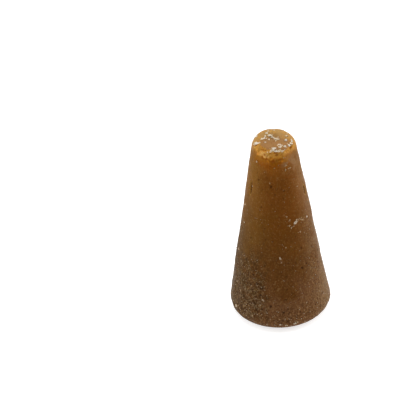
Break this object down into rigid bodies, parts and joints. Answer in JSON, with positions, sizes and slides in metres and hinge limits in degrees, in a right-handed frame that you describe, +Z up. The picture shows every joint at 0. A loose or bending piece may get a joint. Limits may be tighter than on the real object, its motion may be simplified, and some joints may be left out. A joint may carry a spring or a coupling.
{
  "type": "piloncillo sugar cone",
  "caption": "Tapered cone of unrefined cane sugar standing on its wide flat end, with rounded edges, a chipped narrow end, pores, gas marks and sugar crystals.",
  "frame": {"origin": "middle of the wide end's flat face, on the surface that the cone stands on", "axes": "+Z up along the cone's axis to the narrow end, -Y towards the side where the narrow end is chipped, +X to the right of that side"},
  "size_m": [0.0586, 0.0588, 0.1144],
  "materials": {
    "raw_sugar": "unrefined cane sugar, cast and dried: dark amber-brown, slightly translucent, golden where the edge is chipped, with a dull fine-grained skin and pale crystal specks"
  },
  "bodies": {
    "root": {"sugar_cone": "raw_sugar"}
  },
  "joints": []
}
